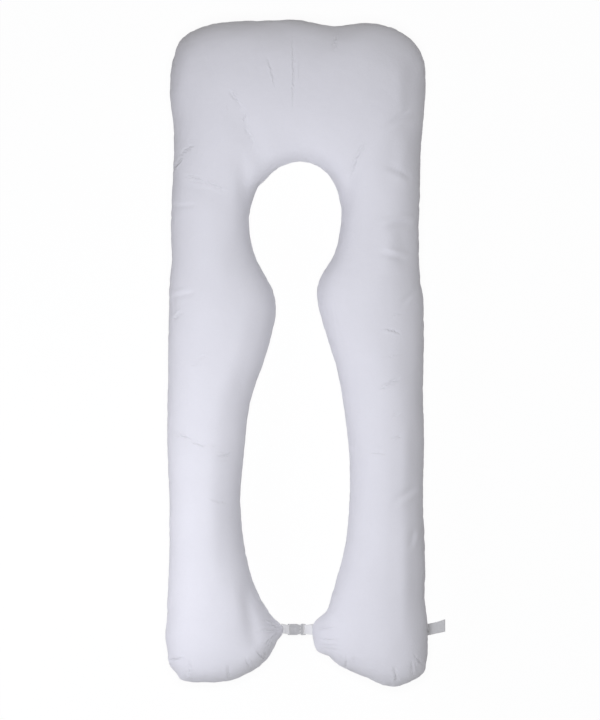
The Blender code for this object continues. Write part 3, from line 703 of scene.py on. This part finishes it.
def rounded_loop(corners):
    """A smooth closed curve through the seam's corners, its first point repeated at its end."""
    before, after, next_after = (np.roll(corners, shift, axis=0) for shift in (1, -1, -2))
    shares = np.arange(LOOP_REFINEMENT) / LOOP_REFINEMENT
    t = shares[None, :, None]
    p0, p1, p2, p3 = (part[:, None] for part in (before, corners, after, next_after))
    curve = (p1 + (p2 - p0) * t / 2 + (p0 * 2 - p1 * 5 + p2 * 4 - p3) * t**2 / 2
             + (p1 * 3 - p0 - p2 * 3 + p3) * t**3 / 2)
    curve = curve.reshape(-1, 3)
    return np.concatenate([curve, curve[:1]])


def section_lines(loop):
    """Lines that cut across the pillow: level ones in the legs, fanned ones in the crown."""
    centre_x, turn_y = CROWN_CENTRE
    left_end = loop[loop[:, 0] < centre_x, 1].min() + END_INSET
    right_end = loop[loop[:, 0] > centre_x, 1].min() + END_INSET
    up = np.linspace(left_end, turn_y, int((turn_y - left_end) / LINE_STEP))
    down = np.linspace(turn_y, right_end, int((turn_y - right_end) / LINE_STEP))
    angles = np.linspace(math.pi, 0, FAN_LINES + 2)[1:-1]
    levels = np.concatenate([up, np.full(FAN_LINES, turn_y), down])
    turns = np.concatenate([np.full(len(up), math.pi), angles, np.zeros(len(down))])
    origins = np.stack([np.full(len(levels), centre_x), levels], axis=1)
    return origins, np.stack([np.cos(turns), np.sin(turns)], axis=1)


def crossings(loop, origins, directions):
    """Where each line meets the loop first and last: its inner and its outer end."""
    starts, ends = loop[:-1], loop[1:]
    across = np.stack([-directions[:, 1], directions[:, 0]], axis=1)
    offset = (origins * across).sum(1)[:, None]
    side_start = across @ starts[:, :2].T - offset
    side_end = across @ ends[:, :2].T - offset
    met = (side_start > 0) != (side_end > 0)
    share = np.where(met, side_start / np.where(met, side_start - side_end, 1), 0)
    along_start = directions @ starts[:, :2].T - (origins * directions).sum(1)[:, None]
    along_end = directions @ ends[:, :2].T - (origins * directions).sum(1)[:, None]
    ahead = along_start + (along_end - along_start) * share
    met &= ahead > 0
    found = []
    for pick in (np.where(met, ahead, np.inf).argmin(1), np.where(met, ahead, -np.inf).argmax(1)):
        part = share[np.arange(len(pick)), pick][:, None]
        found.append(starts[pick] + (ends[pick] - starts[pick]) * part)
    return found


def rails(loop, settings):
    """The inner and outer ends of even cross-sections, which stand closer together in the feet."""
    inner, outer = crossings(loop, *section_lines(loop))
    moves = np.maximum(np.linalg.norm(np.diff(inner, axis=0), axis=1),
                       np.linalg.norm(np.diff(outer, axis=0), axis=1))
    steps = np.where(outer[1:, 1] < FEET_BELOW_Y, settings.foot_step, settings.section_step)
    at = np.concatenate([[0.0], np.cumsum(moves / steps)])
    wanted = np.linspace(0, at[-1], math.ceil(at[-1]) + 1)
    return [np.stack([np.interp(wanted, at, rail[:, k]) for k in range(3)], axis=1)
            for rail in (inner, outer)]


def cover_grid(node, settings):
    """The cover's points in cross-sections: its upper face, and its under face with their ends."""
    inner, outer = rails(rounded_loop(seam_loop(node)), settings)
    even = np.linspace(0, 1, settings.columns + 1)
    crowded = even - RIM_CROWDING * np.sin(math.tau * even) / math.tau
    shares = (1 - np.cos(math.pi * crowded)) / 2
    upper = outer[:, None] + (inner - outer)[:, None] * shares[None, :, None]
    under = upper.copy()
    solid = BVHTree.FromObject(node, bpy.context.evaluated_depsgraph_get())
    widths = np.linalg.norm((inner - outer)[:, :2], axis=1)
    for k in range(1, len(upper) - 1):
        inset = min(LARGEST_INSET, HEIGHT_INSET / widths[k])
        for i in range(1, settings.columns):
            share = 0.5 + (shares[i] - 0.5) * (1 - 2 * inset)
            x, y, seam_z = outer[k] + (inner[k] - outer[k]) * share
            for layer, side in ((upper, 1), (under, -1)):
                hit = solid.ray_cast(Vector((x, y, side * RAY_START)), Vector((0, 0, -side)))[0]
                if hit is None:
                    raise RuntimeError(f"the solid pillow has no surface over {x:.3f}, {y:.3f}")
                height = hit.z - seam_z
                low = math.exp(-((height / settings.rim_height) ** 2))
                layer[k, i, 2] = seam_z + height * (1 - settings.rim_flatness * low)
    return upper, under


def cover_mesh(node, settings):
    """The cover as a closed mesh of four-sided faces, and the numbers of its seam's points."""
    upper, under = cover_grid(node, settings)
    rings, columns = upper.shape[:2]
    number = np.arange(rings * columns).reshape(rings, columns)
    below = number.copy()
    inside = np.arange((rings - 2) * (columns - 2)).reshape(rings - 2, columns - 2)
    below[1:-1, 1:-1] = inside + number.size
    points = np.concatenate([upper.reshape(-1, 3), under[1:-1, 1:-1].reshape(-1, 3)])
    faces = []
    for layer in (number, below):
        a, b, c, d = layer[:-1, :-1], layer[:-1, 1:], layer[1:, 1:], layer[1:, :-1]
        faces.append(np.stack([part.ravel() for part in (a, b, c, d)], axis=1))
    seam = np.concatenate([number[:, 0], number[-1, 1:-1], number[::-1, -1], number[0, -2:0:-1]])
    return mesh_of("pillow_cover", points, np.concatenate(faces)), seam


def simulated(cover, seam, settings):
    """Where pressure and the fullness at the seam move the cover's points."""
    places = points_of(cover.data)
    tree = tree_of(places[seam])
    pinned = cover.vertex_groups.new(name="seam")
    pinned.add([int(k) for k in seam], 1.0, "REPLACE")
    full = cover.vertex_groups.new(name="fullness")
    for k, place in enumerate(places):
        near = 1 - min(1.0, tree.find(place)[2] / NEAR_SEAM)
        full.add([k], near * near, "REPLACE")
    modifier = cover.modifiers.new("cloth", "CLOTH")
    cloth = modifier.settings
    cloth.quality = 6
    cloth.mass = 0.25
    cloth.tension_stiffness = 20
    cloth.compression_stiffness = 20
    cloth.shear_stiffness = 8
    cloth.bending_stiffness = 0.15
    cloth.use_pressure = True
    cloth.uniform_pressure_force = settings.pressure
    cloth.effector_weights.gravity = 0
    cloth.vertex_group_mass = pinned.name
    cloth.vertex_group_shrink = full.name
    cloth.shrink_min = 0.0
    cloth.shrink_max = -settings.fullness
    modifier.collision_settings.use_collision = False
    scene = bpy.context.scene
    for number in range(1, settings.frames + 1):
        scene.frame_set(number)
    settled = cover.evaluated_get(bpy.context.evaluated_depsgraph_get()).to_mesh()
    moved = points_of(settled)
    cover.modifiers.remove(modifier)
    cover.vertex_groups.clear()
    scene.frame_set(1)
    return moved


def stuff(cover, seam, settings):
    """Evens the cover out and fills it, keeping a share of the broad swelling."""
    mesh = cover.data
    edges = edges_of(mesh)
    before = relaxed(points_of(mesh), edges, EVENING_PASSES, seam)
    move_points(mesh, before)
    moved = simulated(cover, seam, settings) - before
    moved -= relaxed(moved, edges, BROAD_PASSES) * (1 - settings.swell)
    size = np.linalg.norm(moved, axis=1, keepdims=True)
    limit = settings.wrinkle_limit
    moved *= limit * np.tanh(size / limit) / np.maximum(size, TINY)
    after = before + moved
    resting = before[:, 2] < RESTING_BELOW_Z
    after[resting, 2] = np.maximum(after[resting, 2], before[resting, 2])
    move_points(mesh, after)


def subdivide(cover):
    """Puts the cover's mesh in place of itself, divided once."""
    finer = cover.modifiers.new("finer", "SUBSURF")
    finer.levels = finer.render_levels = 1
    seen = cover.evaluated_get(bpy.context.evaluated_depsgraph_get())
    mesh = bpy.data.meshes.new_from_object(seen)
    cover.modifiers.remove(finer)
    cover.data = mesh
    mesh.name = cover.name
    mesh.shade_smooth()


def waves(places, lengths, seed):
    """Smooth, uneven ups and downs of about the given wavelengths, mostly from -1 to 1."""
    random = np.random.default_rng(seed)
    total = np.zeros(len(places))
    for length in lengths:
        for _ in range(WAVES_OF_A_LENGTH):
            way = random.normal(size=3)
            way *= math.tau / (length * np.linalg.norm(way) * random.uniform(*WAVE_LENGTHS))
            total += np.sin(places @ way + random.uniform(0, math.tau))
    return total / (len(lengths) * WAVE_SUM)


def beside_crease(crease, places):
    """The numbers of the points near a crease, how many half widths they lie beside it, above 0 to
    its left, and its depth there."""
    one, by, other = (np.array(pair) for pair in (
        (crease.x1, crease.y1), (crease.x2, crease.y2), (crease.x3, crease.y3)))
    t = np.linspace(0, 1, CREASE_POINTS)[:, None]
    line = one * (1 - t) ** 2 + by * 2 * t * (1 - t) + other * t**2
    reach = CREASE_REACH * crease.half_width
    near = np.flatnonzero(((places[:, :2] > line.min(0) - reach)
                           & (places[:, :2] < line.max(0) + reach)).all(axis=1))
    here = places[near, None, :2]
    start, along = line[:-1], np.diff(line, axis=0)
    share = ((here - start) * along).sum(2) / (along**2).sum(1)
    lowest, highest = np.zeros(len(start)), np.ones(len(start))
    lowest[0], highest[-1] = -np.inf, np.inf
    gap = here - start - np.clip(share, lowest, highest)[..., None] * along
    away = np.linalg.norm(gap, axis=2)
    best = away.argmin(1)
    rows = np.arange(len(near))
    side = np.sign(along[best, 0] * gap[rows, best, 1] - along[best, 1] * gap[rows, best, 0])
    offset = side * away[rows, best] / crease.half_width
    part = (best + np.clip(share[rows, best], 0, 1)) / len(start)
    depth = crease.depth * np.clip(1 - np.abs(2 * part - 1) ** CREASE_ENDS, 0, 1)
    return near, offset, depth


def wide_creases(places):
    """How far each point of the upper face is moved out by the wider creases."""
    moved = np.zeros(len(places))
    for crease in CREASES:
        if crease.half_width > NARROW_CREASE:
            near, offset, depth = beside_crease(crease, places)
            lip = np.exp(-((offset * np.sign(crease.lip) - LIP_OFFSET) ** 2))
            moved[near] += depth * (abs(crease.lip) * lip - np.exp(-(offset**2)))
    return moved


def narrow_creases(places):
    """How many half widths each point lies beside its nearest narrow crease, above 0 on the side
    of the crease's lip, and the crease's depth there."""
    offsets, depths = np.full(len(places), FAR_CREASE), np.zeros(len(places))
    for crease in CREASES:
        if crease.half_width <= NARROW_CREASE:
            near, offset, depth = beside_crease(crease, places)
            nearer = np.abs(offset) < np.abs(offsets[near])
            chosen = near[nearer]
            offsets[chosen] = (offset * np.sign(crease.lip))[nearer]
            depths[chosen] = (depth * np.exp(-((offset / NARROW_REACH) ** 4)))[nearer]
    return offsets, depths


def sampled(closed, step):
    """Even steps along a closed line, and the points there."""
    at = run_along(closed)
    wanted = np.arange(0, at[-1], step)
    return wanted, np.stack([np.interp(wanted, at, closed[:, k]) for k in range(3)], axis=1)


def tree_of(points):
    tree = KDTree(len(points))
    for k, place in enumerate(points):
        tree.insert(place, k)
    tree.balance()
    return tree


def seam_coordinates(places, seam, edge):
    """Each point's distance from the seam, below 0 on the under face, its place along the seam,
    and how far the seam there stands from the solid's edge."""
    corners = places[seam]
    wanted, samples = sampled(np.concatenate([corners, corners[:1]]), SEAM_SAMPLE)
    edge_places = sampled(edge, SEAM_SAMPLE)[1]
    edge_tree = tree_of(edge_places)
    shortfall = np.array([edge_places[edge_tree.find(place)[1]] - place for place in samples])
    window = np.hanning(SHORTFALL_WINDOW)
    ends = SHORTFALL_WINDOW // 2
    padded = np.concatenate([shortfall[-ends:], shortfall, shortfall[:ends]])
    shortfall = np.stack([np.convolve(padded[:, k], window / window.sum(), "valid")
                          for k in range(3)], axis=1)
    tree = tree_of(samples)
    found = [tree.find(place) for place in places]
    index = np.array([hit[1] for hit in found])
    away = np.array([hit[2] for hit in found])
    under = places[:, 2] < samples[index, 2]
    return np.where(under, -away, away), wanted[index], shortfall[index]


def puckers(run, distance, seed):
    """Narrow, uneven gathers across the seam that fade and lean over away from it."""
    random = np.random.default_rng(seed)
    lean = np.tanh(distance / PUCKER_LEAN)
    total = np.zeros(len(run))
    for length, reach in PUCKERS:
        phase, slow = random.uniform(0, 6, 2), random.uniform(0.25, 0.4)
        turn = math.tau * run / length
        gate = 0.5 + 0.5 * np.sin(turn * slow + phase[0] + 0.8 * lean)
        fold = 0.5 - 2 * np.exp(-((np.sin((turn + phase[1] + lean) / 2) / PUCKER_WIDTH) ** 2))
        total += fold * gate * np.exp(-np.abs(distance) / reach)
    return total / 2


def set_attribute(mesh, name, values):
    attribute = mesh.attributes.new(name, "FLOAT", "POINT")
    attribute.data.foreach_set("value", values.astype(np.float32))


def sew_and_crease(mesh, seam, edge, settings):
    """Draws the cover to the solid's edge, and adds its lumps, puckers, seam and creases."""
    places, facing = points_of(mesh), points_of(mesh, normals=True)
    distance, run, shortfall = seam_coordinates(places, seam, edge)
    shortfall[:, 2] = 0.0
    places += shortfall * np.exp(-np.abs(distance) / EDGE_REACH)[:, None]
    level = relaxed(np.abs(facing[:, 2:]), edges_of(mesh), EVENING_PASSES)[:, 0]

    lift = settings.lump * waves(places, LUMP_LENGTHS, seed=4)
    lift += settings.pucker * puckers(run, distance, seed=9)
    lift -= (settings.seam_depth * np.exp(-((distance / GROOVE_HALF_WIDTH) ** 2))
             * np.clip(GROOVE_SHARE - LEVEL_SHARE * level, 0.0, 1.0))
    lift += np.where(distance > 0, wide_creases(places), 0.0)
    lifted = places + facing * lift[:, None]
    lowest = np.where(places[:, 2] < RESTING_BELOW_Z, np.maximum(places[:, 2], 0.0), 0.0)
    lifted[:, 2] = np.maximum(lifted[:, 2], lowest)
    move_points(mesh, lifted)

    offsets, depths = narrow_creases(places)
    set_attribute(mesh, "seam_distance", distance)
    set_attribute(mesh, "seam_run", run)
    set_attribute(mesh, "crease_offset", offsets)
    set_attribute(mesh, "crease_depth", np.where(distance > 0, depths, 0.0))
    mesh.update()


class BODYPILLOW_OT_cover(bpy.types.Operator):
    """Build the stuffed cotton cover with its seam, creases and puckers"""

    bl_idname = "body_pillow.cover"
    bl_label = "Stuffed Cover"

    def execute(self, context):
        settings = context.scene.body_pillow_cover
        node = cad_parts["pillow"]
        mesh, seam = cover_mesh(node, settings)
        cover = add_object("pillow_cover", mesh)
        stuff(cover, seam, settings)
        subdivide(cover)
        sew_and_crease(cover.data, seam, rounded_loop(seam_loop(node)), settings)
        cover.data.materials.append(cotton_material(settings))
        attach(cover, "root")
        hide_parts("pillow")
        return {"FINISHED"}


# ---- the webbing ------------------------------------------------------------------------------
Row = namedtuple("Row", "middle side width")  # side: the way from the middle to one selvedge


def smooth_rows(table, step):
    """Rows of numbers read at even steps along a smooth curve through a table's rows."""
    rows = np.array(table, float)
    at = run_along(rows[:, :3])
    slopes = np.gradient(rows, at, axis=0)
    wanted = np.linspace(0, at[-1], max(2, math.ceil(at[-1] / step) + 1))
    k = np.clip(np.searchsorted(at, wanted, side="right") - 1, 0, len(rows) - 2)
    span = (at[k + 1] - at[k])[:, None]
    t = (wanted - at[k])[:, None] / span
    return ((2 * t**3 - 3 * t**2 + 1) * rows[k] + (t**3 - 2 * t**2 + t) * span * slopes[k]
            + (3 * t**2 - 2 * t**3) * rows[k + 1] + (t**3 - t**2) * span * slopes[k + 1])


def level_rows(table, settings):
    """Webbing that lies square to Y."""
    lowest = settings.thickness / 2
    return [Row(Vector((x + CENTRE_LINE_X, y, max(z, lowest))), Vector((0, 1, 0)), width)
            for x, y, z, width in smooth_rows(table, settings.row_step)]


def turn_round_bar(bar_x, towards):
    """Webbing round a bar, from above it to below it, on the side that towards gives."""
    rows = []
    for angle in np.linspace(math.pi / 2, -math.pi / 2, LOOP_STEPS + 1):
        x = CENTRE_LINE_X + bar_x + towards * LOOP_RADIUS * math.cos(angle)
        z = BUCKLE_Z + LOOP_RADIUS * math.sin(angle)
        rows.append(Row(Vector((x, BUCKLE_Y, z)), Vector((0, 1, 0)), BAR_WEBBING_WIDTH))
    return rows


def tip_layer(above, settings):
    """The upper or the under layer of the tip strap, from the foot to the bar."""
    rows = []
    for x, y, z, half_gap, width, roll in smooth_rows(TIP_STRAP, settings.row_step):
        turn = math.radians(roll)
        side = Vector((0, math.cos(turn), math.sin(turn)))
        lift = Vector((0, -math.sin(turn), math.cos(turn))) * (half_gap if above else -half_gap)
        rows.append(Row(Vector((x + CENTRE_LINE_X, y, z)) + lift, side, width))
    return rows


def drawn_on(row, next_row, length):
    """A row that carries the webbing on past its first row, straight."""
    back = (row.middle - next_row.middle).normalized()
    return Row(row.middle + back * length, row.side, row.width)


def webbing_object(name, rows, settings):
    """Webbing through rows, with rounded selvedges and its cloth laid flat as UV; its length."""
    shell = bmesh.new()
    uv = shell.loops.layers.uv.new("webbing")
    columns, half = settings.columns, settings.thickness / 2
    shares = [-math.cos(math.pi * i / columns) for i in range(columns + 1)]
    rings, flat = [], {}
    run = 0.0
    for k, row in enumerate(rows):
        before, after = rows[max(k - 1, 0)], rows[min(k + 1, len(rows) - 1)]
        across = (after.middle - before.middle).normalized().cross(row.side)
        up = across.normalized()
        reach = row.side * row.width / 2 / across.length
        run += (row.middle - before.middle).length
        ring = []
        for sign, order in ((1, shares), (-1, shares[::-1])):
            for share in order:
                full = math.sqrt(max(0.0, 1 - share**SELVEDGE_POWER))
                thick = half * (SELVEDGE + (1 - SELVEDGE) * full)
                vert = shell.verts.new(row.middle + reach * share + up * thick * sign)
                flat[vert] = (run, share * row.width / 2)
                ring.append(vert)
        rings.append(ring)
    count = len(rings[0])
    for ring, after in zip(rings, rings[1:]):
        for k in range(count):
            other = (k + 1) % count
            shell.faces.new((ring[k], ring[other], after[other], after[k]))
    for ring in (rings[0], rings[-1]):
        for k in range(columns):
            shell.faces.new((ring[k], ring[k + 1], ring[count - 2 - k], ring[count - 1 - k]))
    for face in shell.faces:
        for loop in face.loops:
            loop[uv].uv = flat[loop.vert]
    face_outwards(shell)
    mesh = bpy.data.meshes.new(name)
    shell.to_mesh(mesh)
    shell.free()
    mesh.shade_smooth()
    mesh.materials.append(webbing_material(settings))
    return add_object(name, mesh), run


class BODYPILLOW_OT_tip_strap(bpy.types.Operator):
    """Build the short looped strap between the left foot's tip and the buckle's socket"""

    bl_idname = "body_pillow.tip_strap"
    bl_label = "Tip Strap"

    def execute(self, context):
        settings = context.scene.body_pillow_webbing
        upper, under = tip_layer(True, settings), tip_layer(False, settings)
        upper.insert(0, drawn_on(upper[0], upper[1], SEWN_IN))
        under.insert(0, drawn_on(under[0], under[1], SEWN_IN))
        rows = upper + turn_round_bar(SOCKET_BAR_X, 1) + under[::-1]
        strap, length = webbing_object("tip_strap_webbing", rows, settings)
        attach(strap, "root")
        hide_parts("tip_strap")
        return {"FINISHED"}


class BODYPILLOW_OT_adjusting_strap(bpy.types.Operator):
    """Build the long strap from the right foot's tip, round the clip's bar and under the foot"""

    bl_idname = "body_pillow.adjusting_strap"
    bl_label = "Adjusting Strap"

    def execute(self, context):
        settings = context.scene.body_pillow_webbing
        start = level_rows(STRAP_TO_BAR, settings)
        start.insert(0, drawn_on(start[0], start[1], SEWN_IN))
        rows = start + turn_round_bar(CLIP_BAR_X, -1) + level_rows(STRAP_TAIL, settings)
        strap, length = webbing_object("adjusting_strap_webbing", rows, settings)
        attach(strap, "root")
        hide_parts("adjusting_strap")
        return {"FINISHED"}


class BODYPILLOW_OT_buckle(bpy.types.Operator):
    """Finish both halves of the side-release buckle in grey moulded plastic"""

    bl_idname = "body_pillow.buckle"
    bl_label = "Buckle"

    def execute(self, context):
        plastic = plastic_material(context.scene.body_pillow_buckle)
        for name in ("buckle_socket", "buckle_clip"):
            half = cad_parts[name]
            half.data.materials.clear()
            half.data.materials.append(plastic)
        return {"FINISHED"}


# ---- the stage --------------------------------------------------------------------------------
def area_light(light, share):
    """A round lamp that stands in its place and faces its target."""
    data = bpy.data.lights.new(light.name, "AREA")
    data.shape = "DISK"
    data.size = light.size
    data.energy = light.power * share
    data.color = light.colour
    lamp = add_object(light.name, data)
    lamp.location = light.place
    way = Vector(light.target) - Vector(light.place)
    lamp.rotation_euler = way.to_track_quat("-Z", "Y").to_euler()


def floor_material(settings):
    """A pale floor that is bright to look at, and lends less light to what lies on it."""
    made, tree, shader = new_material("pale_floor")
    looked_at = put(tree, "ShaderNodeLightPath").outputs["Is Camera Ray"]
    seen = [1.0 - settings.floor_glow] * 3
    tree.links.new(colour_between(tree, looked_at, settings.bounce_colour, seen),
                   shader.inputs["Base Color"])
    shader.inputs["Emission Color"].default_value = (1, 1, 1, 1)
    glow = maths(tree, "MULTIPLY_ADD", looked_at, settings.floor_glow - settings.bounce_glow,
                 settings.bounce_glow)
    tree.links.new(glow, shader.inputs["Emission Strength"])
    shader.inputs["Roughness"].default_value = 0.9
    shader.inputs["Specular IOR Level"].default_value = 0.0
    return made


class BODYPILLOW_OT_stage(bpy.types.Operator):
    """Set the pale floor, the soft lights and the camera straight above the pillow"""

    bl_idname = "body_pillow.stage"
    bl_label = "Stage"

    def execute(self, context):
        settings = context.scene.body_pillow_stage
        corners = [(x * FLOOR_HALF_WIDTH, y * FLOOR_HALF_WIDTH, 0)
                   for x, y in ((-1, -1), (1, -1), (1, 1), (-1, 1))]
        floor_mesh = bpy.data.meshes.new("floor")
        floor_mesh.from_pydata(corners, [], [(0, 1, 2, 3)])
        floor = add_object("floor", floor_mesh)
        floor.location.z = FLOOR_Z
        floor_mesh.materials.append(floor_material(settings))

        world = bpy.data.worlds.new("surround")
        context.scene.world = world
        world.use_nodes = True
        background = world.node_tree.nodes["Background"]
        background.inputs["Color"].default_value = (*SURROUND_COLOUR, 1)
        background.inputs["Strength"].default_value = settings.surround_strength

        for light in LIGHTS:
            area_light(light, settings.light_share)

        data = bpy.data.cameras.new("camera")
        data.sensor_width = SENSOR
        data.lens = SENSOR * settings.camera_height / VIEW_HEIGHT
        data.clip_end = FAR_CLIP
        camera = add_object("camera", data)
        camera.location = (*VIEW_CENTRE, VIEW_PLANE_Z + settings.camera_height)
        context.scene.camera = camera
        context.scene.view_settings.view_transform = "Standard"
        return {"FINISHED"}


class BODYPILLOW_PT_panel(bpy.types.Panel):
    """Lists the pillow's pieces"""

    bl_idname = "BODYPILLOW_PT_panel"
    bl_label = "Body Pillow"
    bl_space_type = "VIEW_3D"
    bl_region_type = "UI"
    bl_category = "Body Pillow"

    def draw(self, context):
        scene = context.scene
        for settings, operators in (
            (scene.body_pillow_cover, (BODYPILLOW_OT_cover,)),
            (scene.body_pillow_webbing, (BODYPILLOW_OT_tip_strap, BODYPILLOW_OT_adjusting_strap)),
            (scene.body_pillow_buckle, (BODYPILLOW_OT_buckle,)),
            (scene.body_pillow_stage, (BODYPILLOW_OT_stage,)),
        ):
            box = self.layout.box()
            for name in settings.bl_rna.properties.keys():
                if name not in ("rna_type", "name"):
                    box.prop(settings, name)
            for operator in operators:
                box.operator(operator.bl_idname)


SETTINGS = (CoverSettings, WebbingSettings, BuckleSettings, StageSettings)
OPERATORS = (BODYPILLOW_OT_cover, BODYPILLOW_OT_tip_strap, BODYPILLOW_OT_adjusting_strap,
             BODYPILLOW_OT_buckle, BODYPILLOW_OT_stage)
CLASSES = (*SETTINGS, *OPERATORS, BODYPILLOW_PT_panel)


def register():
    for cls in CLASSES:
        bpy.utils.register_class(cls)
    bpy.types.Scene.body_pillow_cover = PointerProperty(type=CoverSettings)
    bpy.types.Scene.body_pillow_webbing = PointerProperty(type=WebbingSettings)
    bpy.types.Scene.body_pillow_buckle = PointerProperty(type=BuckleSettings)
    bpy.types.Scene.body_pillow_stage = PointerProperty(type=StageSettings)


def unregister():
    for name in ("cover", "webbing", "buckle", "stage"):
        delattr(bpy.types.Scene, f"body_pillow_{name}")
    for cls in reversed(CLASSES):
        bpy.utils.unregister_class(cls)


def main():
    register()
    bpy.ops.body_pillow.cover()
    bpy.ops.body_pillow.tip_strap()
    bpy.ops.body_pillow.adjusting_strap()
    bpy.ops.body_pillow.buckle()
    bpy.ops.body_pillow.stage()


if __name__ == "__main__":
    main()
